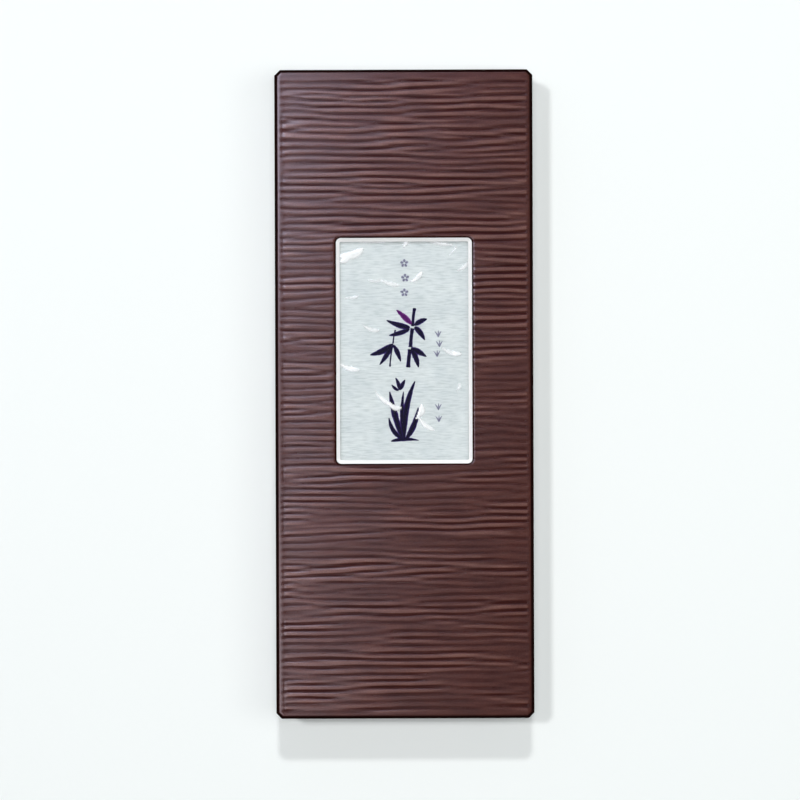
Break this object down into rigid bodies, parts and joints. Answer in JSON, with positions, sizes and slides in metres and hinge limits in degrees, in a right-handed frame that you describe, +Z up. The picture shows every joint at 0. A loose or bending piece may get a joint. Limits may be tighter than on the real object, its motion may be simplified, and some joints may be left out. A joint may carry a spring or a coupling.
{
  "type": "boxed ink stick",
  "caption": "Flat lift-off-lid paper box with a windowed, ripple-embossed lid, holding a banded and film-sleeved ink stick in a padded bed.",
  "frame": {"origin": "middle of the underside of the closed box", "axes": "+Z up, +Y along the box towards the end nearer the lid's window, +X across it"},
  "size_m": [0.0652, 0.1636, 0.022],
  "materials": {
    "greyboard": "matte",
    "base_paper": "matte",
    "bottom_paper": "matte",
    "stay_paper": "matte",
    "liner_paper": "matte",
    "embossed_paper": "satin",
    "laid_paper": "matte",
    "clear_film": "gloss",
    "foam": "matte",
    "satin": "satin",
    "ink": "satin",
    "gilding": "satin"
  },
  "bodies": {
    "base": {"base_board": "greyboard", "base_cover_paper": "base_paper", "base_corner_stays": "stay_paper", "base_liner_paper": "liner_paper", "base_bottom_sheet": "bottom_paper"},
    "bed": {"bed_card": "greyboard", "bed_foam": "foam", "bed_cloth": "satin"},
    "lid": {"lid_board": "greyboard", "lid_cover_paper": "embossed_paper", "lid_corner_stays": "stay_paper", "lid_liner_paper": "liner_paper"},
    "parcel": {"paper_band": "laid_paper", "film_sleeve": "clear_film"},
    "stick": {"ink_stick": "ink", "gilt_frame_front": "gilding", "gilt_bamboo_front": "gilding", "gilt_frame_back": "gilding", "gilt_moon_back": "gilding"}
  },
  "joints": [
    {"name": "lid_lift", "type": "slide", "parent": "base", "child": "lid", "axis": [0, 0, 1], "range_m": [0, 0.2]},
    {"name": "parcel_lift", "type": "slide", "parent": "base", "child": "parcel", "axis": [0, 0, 1], "range_m": [0, 0.12]},
    {"name": "stick_slide", "type": "slide", "parent": "parcel", "child": "stick", "axis": [0, 1, 0], "range_m": [0, 0.07]},
    {"name": "bed_lift", "type": "slide", "parent": "base", "child": "bed", "axis": [0, 0, 1], "range_m": [0, 0.024]}
  ],
  "couplings": [
    {"joint": "parcel_lift", "follows": "lid_lift", "ratio": 0.6},
    {"joint": "stick_slide", "follows": "lid_lift", "ratio": 0.35},
    {"joint": "bed_lift", "follows": "lid_lift", "ratio": 0.12}
  ]
}
